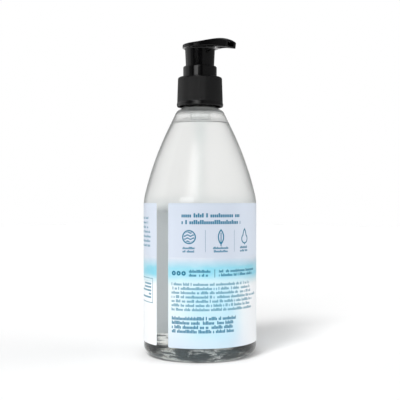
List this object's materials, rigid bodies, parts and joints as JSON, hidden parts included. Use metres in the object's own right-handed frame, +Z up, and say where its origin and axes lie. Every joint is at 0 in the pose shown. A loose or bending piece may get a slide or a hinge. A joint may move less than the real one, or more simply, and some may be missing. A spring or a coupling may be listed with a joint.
{
  "type": "liquid soap bottle",
  "caption": "Clear round bottle of liquid soap with a long sloping shoulder, a wrap-around label and a black screw-on pump whose head presses, swivels and unscrews.",
  "frame": {"origin": "centre of the base, on the surface that the bottle stands on", "axes": "+Z up along the bottle's axis, +X the way the nozzle points, the label's gap towards -Y"},
  "size_m": [0.0656, 0.0655, 0.1819],
  "materials": {
    "clear_bottle": "clear blown plastic, glossy",
    "label_film": "printed film, pale blue with a turquoise band, soft gloss",
    "clear_soap": "clear liquid",
    "black_satin": "black moulded plastic, fine satin texture",
    "black_gloss": "black moulded plastic, polished",
    "white_gasket": "white foam washer",
    "natural_plastic": "uncoloured translucent plastic",
    "clear_glass": "clear glass ball",
    "spring_steel": "stainless steel"
  },
  "bodies": {
    "bottle": {"bottle": "clear_bottle", "label": "label_film", "liquid_soap": "clear_soap"},
    "pump": {"housing": "natural_plastic", "collar": "black_gloss", "gasket": "white_gasket", "ball_retainer": "natural_plastic", "dip_tube": "natural_plastic", "return_spring": "spring_steel"},
    "closure": {"closure": "black_satin"},
    "plunger": {"stem": "natural_plastic", "valve_rod": "natural_plastic"},
    "head": {"actuator": "black_gloss"},
    "piston": {"piston": "natural_plastic"},
    "inlet_ball": {"inlet_ball": "clear_glass"}
  },
  "joints": [
    {"name": "pump_lift", "type": "slide", "parent": "bottle", "child": "pump", "axis": [0, 0, 1], "range_m": [0, 0.00477]},
    {"name": "closure_turn", "type": "hinge", "parent": "pump", "child": "closure", "pos_m": [0, 0, 0.15], "axis": [0, 0, 1], "range_deg": [0, 540]},
    {"name": "head_press", "type": "slide", "parent": "pump", "child": "plunger", "axis": [0, 0, -1], "range_m": [0, 0.007], "stiffness_N_per_m": 900, "springref_m": -0.006, "deforming": ["return_spring"]},
    {"name": "head_turn", "type": "hinge", "parent": "plunger", "child": "head", "pos_m": [0, 0, 0.17], "axis": [0, 0, 1], "range_deg": [0, 90]},
    {"name": "piston_slip", "type": "slide", "parent": "plunger", "child": "piston", "axis": [0, 0, 1], "range_m": [0, 0.001]},
    {"name": "ball_lift", "type": "slide", "parent": "pump", "child": "inlet_ball", "axis": [0, 0, 1], "range_m": [0, 0.0015]}
  ],
  "couplings": [
    {"joint": "pump_lift", "follows": "closure_turn", "m_per_rad": 0.00050532}
  ]
}
